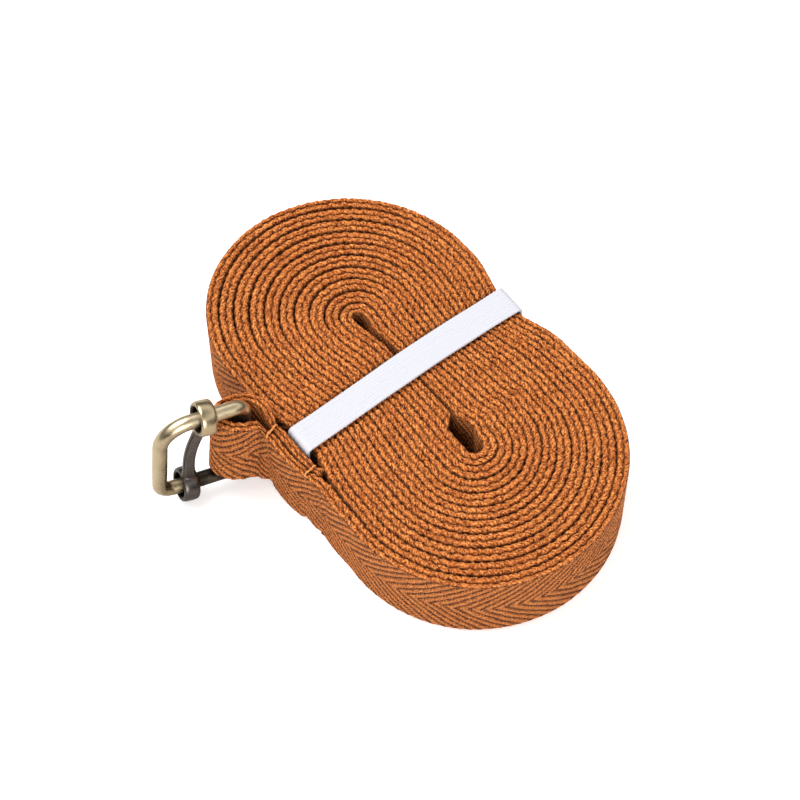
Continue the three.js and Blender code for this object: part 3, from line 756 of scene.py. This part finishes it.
def metal_material(name, patina_high, roughness):
    """Antiqued plating: burnished where it is rubbed, and darker where ambient occlusion finds it enclosed:
    patina in its hollows, and painted shade.

    An attribute goes from a darker shaded copy of the brass to the lit brass: painted shade and light.
    """
    n = Nodes(name)
    where = n.add("ShaderNodeTexCoord").outputs["Object"]
    shelter = n.add("ShaderNodeAmbientOcclusion", samples=6)
    shelter.inputs["Distance"].default_value = 0.0035
    open_air = shelter.outputs["AO"]
    cloud = n.noise(where, 160, 5.0, 0.6)
    speck = n.noise(where, 1500, 3.0, 0.6)
    scratch_at = n.add("ShaderNodeMapping")
    scratch_at.inputs["Scale"].default_value = (1.0, 1.0, 9.0)
    n.link(where, scratch_at.inputs["Vector"])
    scratch = n.noise(scratch_at.outputs[0], 700, 2.0, 0.5)
    rubbed, polished = n.attribute("rubbed"), n.attribute("polished")
    # Painted light and shade: the lit brass is mixed with its darker shaded copy.
    bright, body, recess = (n.mix(polished, a, b) for a, b in zip(SHADED_BRASS, BRASS))
    # Ambient occlusion pulls the colour towards the dark of hollows: patina there, and painted shade where
    # parts lie close.
    share = n.plus(n.times(open_air, 0.9), n.times(cloud, 1.3))
    share = n.plus(share, n.times(rubbed, 0.8))
    colour = n.mix(n.span(share, patina_high - 0.7, patina_high), recess, body)
    colour = n.mix(n.span(n.plus(n.times(speck, 0.4), rubbed), 0.35, 1.2), colour, bright)
    n.shade(Base_Color=colour, Metallic=1.0)
    rough = n.span(cloud, 0.3, 0.7, roughness, roughness + 0.16)
    n.shade(Roughness=n.plus(rough, n.times(n.rest(open_air), 0.3)))
    height = n.plus(n.times(scratch, 0.5), n.times(cloud, 0.8))
    n.shade(Normal=n.bump(height, 0.22, 0.00015))
    return n.material


# ---- Webbing pieces ----
def webbing_pieces():
    """The strap in five lengths, so that each mesh stays small; only faces that are seen are woven."""
    strap = Strap()
    marks = strap.turn_marks
    core_end, outer_start, tail_start = marks[1] + 24, marks[9] + 16, marks[10] + 4
    copper = webbing_material()
    lengths = [
        ("webbing_core_turn", 0, core_end, FINE, FINE),
        ("webbing_inner_turns", core_end, marks[6], COARSE, COARSE),
        ("webbing_middle_turns", marks[6], outer_start, COARSE, COARSE),
        ("webbing_outer_turn", outer_start, tail_start, FINE, COARSE),
    ]
    for name, start, end, outer_rows, inner_rows in lengths:
        part = webbing(name, strap, start, end, outer_rows, inner_rows)
        finish_piece(part, copper, "webbing_coil" if start == 0 else None, "coil")
    tail = webbing("webbing_tail_loop", strap, tail_start, strap.length, FINE, FINE)
    finish_piece(tail, copper, "webbing_tail")
    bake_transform(tail)


# ---- Thread seams ----
STITCH = 2.9  # length of one stitch
STITCH_SINK = 0.8  # how far the stitches are pulled into the webbing's face
STITCH_DIP = 0.35  # how much deeper the thread goes at each stitch hole
PLY_TURN = 1.1  # length of thread in which its plies make half a turn


def rounded_rectangle(half_w, low, high, radius, step):
    """Closed line in a plane: across from -half_w to half_w, up from low to high. Also gives the run."""
    corners = [(half_w - radius, high - radius, 0), (-half_w + radius, high - radius, 90),
               (-half_w + radius, low + radius, 180), (half_w - radius, low + radius, 270)]
    line = []
    for a, b, start in corners:
        for k in range(7):
            angle = math.radians(start + 15 * k)
            line.append((a + radius * math.cos(angle), b + radius * math.sin(angle)))
    line.append(line[0])
    return evenly(line, step)


def evenly(line, step):
    """Evenly spaced points on a closed line, the run at each of them, and the whole length."""
    line = np.array(line)
    run = run_along(line)
    at = np.linspace(0, run[-1], int(run[-1] / step), endpoint=False)
    return np.stack([np.interp(at, run, line[:, k]) for k in range(2)], 1), at, run[-1]


def seam(name, spec, node, material, knot_share=None):
    """Two-ply thread sewn round the doubled webbing: it dips at each stitch hole in the faces.

    A knot lies on its top, at a share of the way from the middle to the face.
    """
    half = (spec["legs"] + spec["thick"]) / 2 + SEAM_GAP + SEAM_THREAD / 2 - STITCH_SINK
    half -= spec["crease"] / 2
    low = spec["lift"] + SEAM_NOTCH - SEAM_GAP - SEAM_THREAD / 2
    high = spec["lift"] + WEB_WIDTH - SEAM_NOTCH + SEAM_GAP + SEAM_THREAD / 2
    line, at, total = rounded_rectangle(half, low, high, 0.7, 0.12)
    along = np.array([math.cos(spec["angle"]), math.sin(spec["angle"]), 0])
    across = np.array([-along[1], along[0], 0])
    on_face = smooth((half - 0.05 - np.abs(line[:, 0])) / -0.1 + 1) * smooth((high - 1.2 - line[:, 1]) / 1.0)
    on_face = on_face * smooth((line[:, 1] - low - 1.2) / 1.0)
    dip = on_face * STITCH_DIP * np.abs(np.cos(np.pi * line[:, 1] / STITCH)) ** 6
    line[:, 0] -= np.sign(line[:, 0]) * dip
    centre = np.array([spec["x"], spec["y"], 0]) + line[:, :1] * across + line[:, 1:] * np.array([0, 0, 1.0])
    centre = centre + along * (0.06 * np.sin(at * 2.1))[:, None]
    side = unit(np.cross(ring_tangent(centre), along))
    turn = np.linspace(0, 2 * np.pi, 14, endpoint=False)
    twist = np.pi * round(total / PLY_TURN) * at / total
    radius = SEAM_THREAD / 2 * (0.86 + 0.16 * np.abs(np.cos(turn[None, :] - twist[:, None])))
    if knot_share is not None:
        knot_x = knot_share * ((spec["legs"] + spec["thick"]) / 2 + SEAM_GAP)
        knot = np.exp(-(((line[:, 0] - knot_x) ** 2 + (line[:, 1] - high) ** 2) / 0.35))
        radius = radius * (1 + 0.55 * knot[:, None])
    obj = thread_mesh(name, centre, np.broadcast_to(along, centre.shape), side, radius, turn, rows_close=True)
    put(obj, ply=turn[None, :] - twist[:, None], in_face=np.broadcast_to(on_face[:, None], radius.shape))
    finish_piece(obj, material, node, "tail")


# ---- Elastic band ----
RIBS = 6  # ridges across the band


def elastic(material):
    """Ribbed band round the waist, doubled where it is sewn on the far side."""
    low, high = (np.array(c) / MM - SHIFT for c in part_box("elastic_band"))
    half_w, mid_x = (high[0] - low[0]) / 2, (high[0] + low[0]) / 2
    near, far = low[1] + ELASTIC_THICK / 2, high[1] - ELASTIC_THICK * 1.5
    low_z, high_z = low[2] + ELASTIC_THICK / 2, high[2] - ELASTIC_THICK / 2
    mid_y, half_y = (near + far) / 2, (far - near) / 2
    line, at, _ = rounded_rectangle(half_y, low_z, high_z, ELASTIC_BEND, 0.3)
    tangent = ring_tangent(line)
    out = np.stack([tangent[:, 1], -tangent[:, 0]], 1)
    lap = smooth((line[:, 1] - LAP_LOW_Z) / 0.5) * smooth((LAP_HIGH_Z - line[:, 1]) / 0.5)
    lap = np.where(line[:, 0] > half_y - 0.1, lap, 0)
    middle = mid_x + elastic_middle(mid_y + line[:, 0])[:, None]
    across = np.linspace(-1, 1, 61)
    ridge = np.abs(np.sin(np.pi * RIBS * (across + 1) / 2)) ** 0.6
    rim = np.sqrt(np.maximum(1 - np.maximum((np.abs(across) - 0.94) / 0.06, 0) ** 2, 0))
    weft = 0.5 + 0.5 * np.cos(2 * np.pi * at)[:, None]
    crown = (ELASTIC_THICK / 2 - 0.13) + 0.1 * ridge[None, :] - 0.012 * weft * ridge[None, :]
    crown = crown * mix(0.35, 1.0, rim)[None, :]
    edge_wave = 0.05 * np.sin(2 * np.pi * at) - 0.05 + 0.08 * wander(at, 9, 31)
    x = middle + across[None, :] * (half_w - 0.06 + edge_wave[:, None] * np.abs(across)[None, :] ** 6)
    x = np.concatenate([x, x[:, ::-1]], 1)
    depth = np.concatenate([crown + lap[:, None] * ELASTIC_THICK, -crown[:, ::-1]], 1)
    y = mid_y + line[:, :1] + out[:, :1] * depth
    z = line[:, 1:] + out[:, 1:] * depth
    obj = grid_mesh("elastic_band_woven", np.stack([x, y, z], 2), rows_close=True)
    put(obj, strap_s=np.broadcast_to(at[:, None], x.shape), strap_v=x)
    finish_piece(obj, material, "elastic_band", "coil")


def bar_tack(material):
    """Zigzag thread that sews the band's overlap."""
    low, high = (np.array(c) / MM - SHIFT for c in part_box("elastic_stitch"))
    strokes = 13
    k = np.arange(strokes + 1)
    corner = np.stack([mix(low[0], high[0], k / strokes), np.full(len(k), low[1] + 0.1),
                       np.where(k % 2 == 0, low[2] + 0.5, high[2] - 0.5)], 1)
    run = np.linspace(0, strokes, strokes * 16 + 1)
    centre = soften(np.stack([np.interp(run, k, corner[:, c]) for c in range(3)], 1), 2)
    centre[:, 1] -= 0.3 * np.abs(np.cos(np.pi * run)) ** 6
    tangent = unit(np.gradient(centre, axis=0))
    up = unit(np.cross(tangent, np.array([0, 1.0, 0])))
    turn = np.linspace(0, 2 * np.pi, 10, endpoint=False)
    radius = np.full((len(run), len(turn)), 0.19)
    obj = thread_mesh("elastic_bar_tack", centre, up, np.cross(tangent, up), radius, turn)
    put(obj, strap_s=np.broadcast_to(run[:, None], radius.shape), strap_v=np.broadcast_to(turn, radius.shape))
    finish_piece(obj, material, "elastic_stitch", "coil")


# ---- Buckle ----
ROD_STEP = 0.321  # spacing of sections along the frame's rod
BAR_HALF_WIDE, BAR_HALF_THICK = 1.62, 1.2
level = np.array([math.cos(RAIL_ANGLE), math.sin(RAIL_ANGLE), 0])
U = level * math.cos(FRAME_PITCH) + np.array([0, 0, math.sin(FRAME_PITCH)])
W = np.cross(level, np.array([0, 0, 1.0]))
V = np.cross(W, U)
BAR_ORIGIN = np.array([BAR_X, BAR_Y, RAIL_BASE_Z])


def in_buckle(u, v, w):
    """Place in the layout of a point u along the rails, v up the frame and w out of its plane."""
    u, v, w = np.broadcast_arrays(u, v, w)
    return BAR_ORIGIN + u[..., None] * U + v[..., None] * V + w[..., None] * W


def frame_rod(material):
    """Closed frame of round rod, worn a little unevenly. Its lower rail, from the fixed bar to the lower
    ring, is painted as a darker copy of the brass and rubbed less: painted shade and dark reflection.
    """
    corners = [(0, 0, CORNER_BAR, 180), (FRAME_LENGTH, 0, CORNER_END_LOW, 270),
               (FRAME_LENGTH, FRAME_HEIGHT, CORNER_END_HIGH, 0), (0, FRAME_HEIGHT, CORNER_BAR, 90)]
    line = []
    for corner_u, corner_v, radius, start in corners:
        mid_u = corner_u + (radius if corner_u == 0 else -radius)
        mid_v = corner_v + (radius if corner_v == 0 else -radius)
        for k in range(25):
            angle = math.radians(start + 90 * k / 24)
            line.append((mid_u + radius * math.cos(angle), mid_v + radius * math.sin(angle)))
    line.append(line[0])
    line, at, _ = evenly(line, ROD_STEP)
    tangent = ring_tangent(line)
    out = np.stack([tangent[:, 1], -tangent[:, 0]], 1)
    turn = np.linspace(0, 2 * np.pi, 36, endpoint=False)[None, :]
    radius = (ROD_RADIUS - 0.02) * (1 - 0.012 * (1 + wander(at, 7, 41)))[:, None]
    a = radius * np.cos(turn)
    points = in_buckle(line[:, :1] + out[:, :1] * a, line[:, 1:] + out[:, 1:] * a, radius * np.sin(turn))
    obj = grid_mesh("buckle_frame_rod", points, rows_close=True)
    # Painted shade and dark reflection: the lower rail by the webbing is turned to the darker copy of the
    # brass and rubbed less.
    shaded_rail = (smooth((6 - line[:, 1]) / 4) * smooth((16.5 - line[:, 0]) / 2.5))[:, None]
    put(obj, rubbed=0.25 + 0.35 * np.clip(np.cos(turn), 0, 1) - 0.2 * shaded_rail,
        polished=np.broadcast_to(1 - 0.85 * shaded_rail, a.shape))
    finish_piece(obj, material, "buckle_frame", "frame")


def ring(centre, across, along):
    """Cast ring: a band whose outside is crowned and whose rims are rounded."""
    t = np.linspace(0, 2 * np.pi, 28, endpoint=False)
    middle, wall = (RING_OUTER + RING_INNER) / 2, (RING_OUTER - RING_INNER) / 2
    crown = np.where(np.cos(t) > 0, 1.0, 0.9)
    turn = np.linspace(0, 2 * np.pi, 72, endpoint=False)[:, None]
    r = middle + (wall * signed_power(np.cos(t), 0.75) * crown)[None, :]
    length = (RING_LENGTH / 2 * signed_power(np.sin(t), 0.55))[None, :]
    u = centre[0] + across[0] * length + along[0] * r * np.cos(turn)
    v = centre[1] + across[1] * length + along[1] * r * np.cos(turn)
    return grid_mesh("ring", in_buckle(u, v, r * np.sin(turn)), rows_close=True)


def cross_bar(lower, upper, across, along):
    """Flat bar between the rings: it bows outwards and flares into them."""
    inset = (RING_INNER + RING_OUTER) / 2 - 0.05
    start, end = lower + along * inset, upper - along * inset
    t = np.linspace(0, 1, 60)[:, None]
    line = start + (end - start) * t + across * (BAR_BOW * np.sin(np.pi * t))
    turn = np.linspace(0, 2 * np.pi, 28, endpoint=False)[None, :]
    flare = 1 + 0.28 * (np.exp(-t / 0.07) + np.exp(-(1 - t) / 0.07))
    wide = BAR_HALF_WIDE * flare * signed_power(np.cos(turn), 0.8)
    thick = BAR_HALF_THICK * flare * signed_power(np.sin(turn), 0.9)
    return grid_mesh("bar", in_buckle(line[:, :1] + across[0] * wide, line[:, 1:] + across[1] * wide, thick))


def slide_piece(material):
    """Slide bar and its two rings, fused into one casting. Its upper end is painted as the lit brass, the
    rest as a darker shaded copy: painted light and shade.
    """
    lower, upper = np.array([LOWER_RING_U, 0.0]), np.array([UPPER_RING_U, FRAME_HEIGHT])
    along = (upper - lower) / np.linalg.norm(upper - lower)
    across = np.array([along[1], -along[0]])
    parts = [ring(lower, across, along), ring(upper, across, along), cross_bar(lower, upper, across, along)]
    for o in bpy.context.scene.objects:
        o.select_set(o in parts)
    bpy.context.view_layer.objects.active = parts[0]
    bpy.ops.object.join()
    obj = parts[0]
    obj.name = "slide_bar_cast"
    fuse = obj.modifiers.new("fuse", "REMESH")
    fuse.mode = "VOXEL"
    fuse.voxel_size = 0.16 * MM
    fuse.use_smooth_shade = True
    calm = obj.modifiers.new("calm", "SMOOTH")
    calm.factor = 0.5
    calm.iterations = 8
    fused = obj.evaluated_get(bpy.context.evaluated_depsgraph_get())
    mesh = bpy.data.meshes.new_from_object(fused)
    obj.modifiers.clear()
    obj.data = mesh
    mesh.polygons.foreach_set("use_smooth", np.ones(len(mesh.polygons), bool))
    co = np.array([p.co for p in mesh.vertices]) / MM - SHIFT - BAR_ORIGIN
    v, w = co @ V, co @ W
    outward = np.hypot(v - np.where(v > FRAME_HEIGHT / 2, FRAME_HEIGHT, 0), w)
    # Painted light and shade: the upper end is the lit brass, the rest a darker shaded copy of it.
    put(obj, rubbed=0.15 + 0.2 * smooth((outward - 3.6) / 0.8),
        polished=smooth((v - (FRAME_HEIGHT - 5.6)) / 1.6))
    finish_piece(obj, material, "slide_bar", "slide")


# ---- Studio ----
FLOOR_GAP, FLOOR_HALF = 0.0004, 3.0  # metres below the object, and from its middle
VIEW_AZIMUTH, VIEW_ELEVATION = math.radians(52.4), math.radians(60)
VIEW_DISTANCE, VIEW_WIDTH = 700.0, 206.1856  # millimetres; the width is what the picture spans
VIEW_SHIFT = (-0.00625, -0.005625)  # shares of the picture's width
SENSOR = 36.0


def floor():
    """Pale floor that glows a little, so that shadows stay faint; metal mirrors it darker."""
    n = Nodes("floor")
    mirrored = n.add("ShaderNodeLightPath").outputs["Is Glossy Ray"]
    glow = n.times(n.rest(mirrored), 0.3)
    n.shade(Base_Color=n.mix(mirrored, srgb(250, 250, 250), srgb(196, 192, 188)), Roughness=0.9)
    n.shade(Emission_Color=srgb(255, 255, 255), Emission_Strength=glow)
    corners = [(-1, -1), (1, -1), (1, 1), (-1, 1)]
    mesh = bpy.data.meshes.new("floor")
    mesh.from_pydata([(FLOOR_HALF * x, FLOOR_HALF * y, cad_low.z - FLOOR_GAP) for x, y in corners], [],
                     [(0, 1, 2, 3)])
    mesh.materials.append(n.material)
    obj = bpy.data.objects.new("floor", mesh)
    bpy.context.scene.collection.objects.link(obj)


def sky():
    """Soft light from all round. Metal mirrors a darker room with one bright band instead."""
    world = bpy.data.worlds.new("studio")
    world.use_nodes = True
    bpy.context.scene.world = world
    tree = world.node_tree
    tree.nodes.clear()
    out = tree.nodes.new("ShaderNodeOutputWorld")
    background = tree.nodes.new("ShaderNodeBackground")
    tree.links.new(background.outputs[0], out.inputs[0])
    coords = tree.nodes.new("ShaderNodeTexCoord")
    split = tree.nodes.new("ShaderNodeSeparateXYZ")
    tree.links.new(coords.outputs["Generated"], split.inputs[0])

    def ramp(value, stops):
        node = tree.nodes.new("ShaderNodeValToRGB")
        tree.links.new(value, node.inputs[0])
        while len(node.color_ramp.elements) < len(stops):
            node.color_ramp.elements.new(0.5)
        for element, (position, level) in zip(node.color_ramp.elements, stops):
            element.position = position
            element.color = (level, level, level, 1)
        return node.outputs[0]

    light = ramp(split.outputs[2], [(0.0, 0.62), (0.55, 1.0)])
    mirrored = ramp(split.outputs[2],
                    [(0.0, 0.2), (0.18, 0.06), (0.42, 0.16), (0.64, 1.5), (0.8, 1.1), (0.95, 0.4)])
    rays = tree.nodes.new("ShaderNodeLightPath")
    mixer = tree.nodes.new("ShaderNodeMix")
    mixer.data_type = "RGBA"
    tree.links.new(rays.outputs["Is Glossy Ray"], mixer.inputs[0])
    tree.links.new(light, mixer.inputs[6])
    tree.links.new(mirrored, mixer.inputs[7])
    tree.links.new(mixer.outputs[2], background.inputs["Color"])
    background.inputs["Strength"].default_value = 0.78


def look_at(obj, place, aim):
    obj.location = place
    obj.rotation_mode = "QUATERNION"
    obj.rotation_quaternion = (Vector(aim) - Vector(place)).to_track_quat("-Z", "Y")
    bpy.context.scene.collection.objects.link(obj)


def softbox(name, place, size, energy):
    """Round lamp aimed at the object, in metres and watts."""
    lamp = bpy.data.lights.new(name, "AREA")
    lamp.shape = "DISK"
    lamp.size = size
    lamp.energy = energy
    look_at(bpy.data.objects.new(name, lamp), place, (0, 0, 0))


def camera():
    """Looks at the middle of the coil, from above and from the buckle's side."""
    back = Vector((math.sin(VIEW_AZIMUTH) * math.cos(VIEW_ELEVATION),
                   -math.cos(VIEW_AZIMUTH) * math.cos(VIEW_ELEVATION), math.sin(VIEW_ELEVATION)))
    aim = Vector(((SHIFT + np.array([0, 0, WEB_WIDTH / 2])) * MM).tolist())
    data = bpy.data.cameras.new("camera")
    data.sensor_width = SENSOR
    data.lens = SENSOR * VIEW_DISTANCE / VIEW_WIDTH
    data.clip_start, data.clip_end = 0.01, 10
    data.shift_x, data.shift_y = VIEW_SHIFT
    obj = bpy.data.objects.new("camera", data)
    look_at(obj, aim + back * VIEW_DISTANCE * MM, aim)
    bpy.context.scene.camera = obj


# ---- The scene ----
webbing_pieces()
cotton_thread = thread_material()
seam("loop_seam_thread", LOOP_SEAM, "loop_seam", cotton_thread, knot_share=0.35)
seam("end_seam_thread", END_SEAM, "end_seam", cotton_thread)
white = elastic_material()
elastic(white)
bar_tack(white)
frame_rod(metal_material("antique_brass", 1.95, 0.22))
# The slide is the same brass, painted lit at its upper end and shaded below.
slide_piece(metal_material("gunmetal", 1.85, 0.18))
floor()
sky()
softbox("key", (-0.5, -0.25, 0.9), 0.9, 11.0)
softbox("fill", (0.95, -0.5, 0.45), 0.8, 8.6)
camera()
bpy.context.scene.view_settings.view_transform = "Standard"
bpy.context.view_layer.update()
